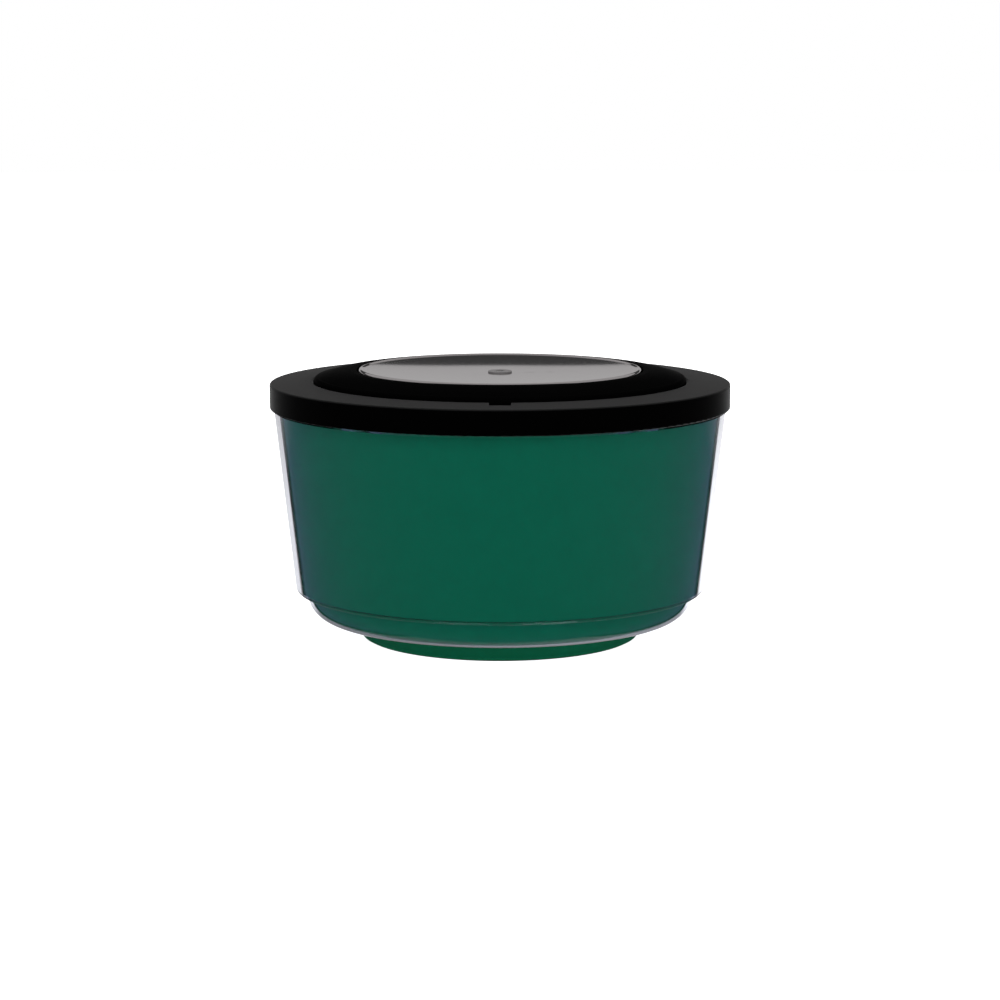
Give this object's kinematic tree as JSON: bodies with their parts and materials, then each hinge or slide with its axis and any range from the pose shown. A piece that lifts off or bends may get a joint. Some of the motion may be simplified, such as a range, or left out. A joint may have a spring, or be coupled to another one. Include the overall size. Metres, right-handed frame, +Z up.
{
  "type": "disinfectant jar",
  "caption": "Low round disinfectant jar: clear shell over a green cup, black press-on lid with a steel-dished lift-out cap on a rod, and a perforated basket for small tools.",
  "frame": {"origin": "centre of the foot's resting plane, on the jar's axis", "axes": "+Z up along the jar's axis, -Y towards the front, where the lid ring has its notch, +X to the right"},
  "size_m": [0.12, 0.12, 0.0705],
  "materials": {
    "clear_shell": "clear moulded acrylic, polished",
    "green_cup": "deep green, satin gloss",
    "clear_silicone": "milky silicone",
    "dark_silicone": "dark silicone, matte",
    "black_lid": "fine matte moulded",
    "black_cap": "fine matte moulded",
    "brushed_dish": "spun and brushed",
    "dark_screw": "turned, slightly dark",
    "bright_steel": "polished stainless steel",
    "basket_steel": "drawn sheet, satin",
    "white_bush": "turned acetal"
  },
  "bodies": {
    "jar": {"outer_shell": "clear_shell", "inner_cup": "green_cup", "rim_gasket": "clear_silicone", "foot_gasket": "clear_silicone", "grip_ring": "dark_silicone"},
    "lid": {"lid_ring": "black_lid", "lid_gasket": "clear_silicone"},
    "cap": {"lid_cap": "black_cap", "cap_gasket": "clear_silicone", "steel_dish": "brushed_dish", "dish_screw": "dark_screw", "boss_washer": "clear_silicone", "lift_rod": "bright_steel", "end_washer": "bright_steel", "rod_nut": "bright_steel"},
    "basket_body": {"basket": "basket_steel", "basket_rim": "bright_steel", "basket_hub": "white_bush"}
  },
  "joints": [
    {"name": "lid_lift", "type": "slide", "parent": "jar", "child": "lid", "axis": [0, 0, 1], "range_m": [0, 0.065]},
    {"name": "cap_lift", "type": "slide", "parent": "lid", "child": "cap", "axis": [0, 0, 1], "range_m": [0, 0.062]},
    {"name": "basket_turn", "type": "hinge", "parent": "cap", "child": "basket_body", "pos_m": [0, 0, 0.013], "axis": [0, 0, 1], "continuous": true}
  ]
}
